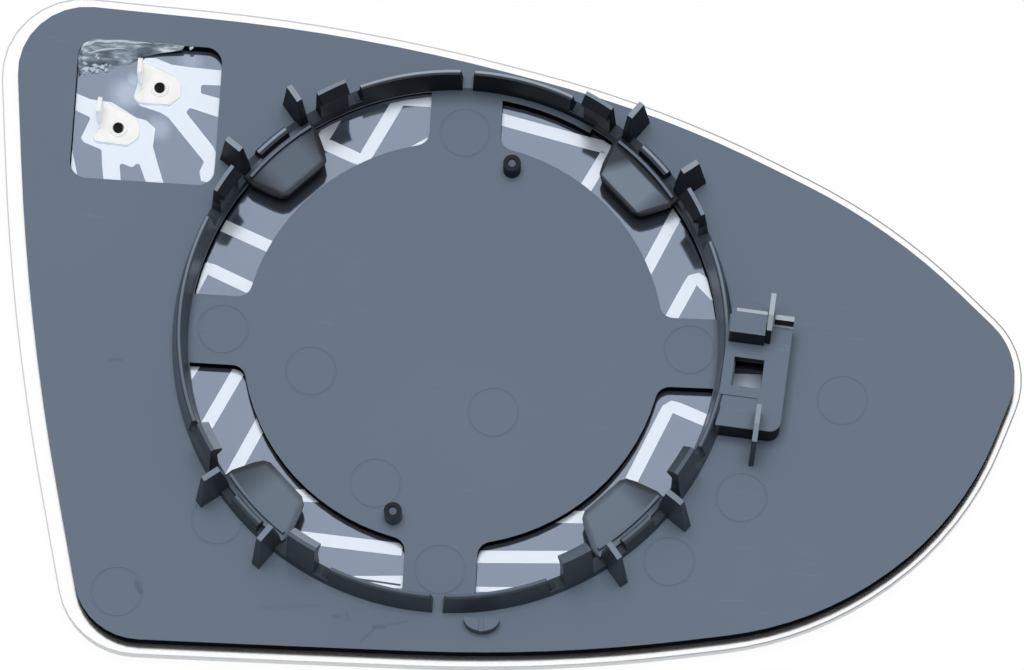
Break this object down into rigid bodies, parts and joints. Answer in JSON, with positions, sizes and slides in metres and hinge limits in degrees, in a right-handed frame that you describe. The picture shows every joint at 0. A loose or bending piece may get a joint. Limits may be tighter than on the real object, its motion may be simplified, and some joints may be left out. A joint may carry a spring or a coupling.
{
  "type": "car door mirror glass",
  "caption": "Heated convex door mirror glass seen from its back: a clip-on adjuster ring with snap hooks, fins and flaps, a side bracket and two spade terminals.",
  "frame": {"origin": "on the adjuster ring's axis, at the height of the plate's back face there", "axes": "+Z points out of the back, away from the mirror's face; +X runs along the length towards the pointed end; +Y runs towards the straight top edge"},
  "size_m": [0.1822, 0.1192, 0.0192],
  "materials": {
    "mirror_glass": "polished",
    "heater_foil": "satin foil",
    "terminal_tin": "tinned, satin",
    "plate_plastic": "moulded, satin"
  },
  "bodies": {
    "root": {"mirror_glass": "mirror_glass", "heater_foil": "heater_foil", "terminal_upper": "terminal_tin", "terminal_lower": "terminal_tin", "back_plate": "plate_plastic"}
  },
  "joints": []
}
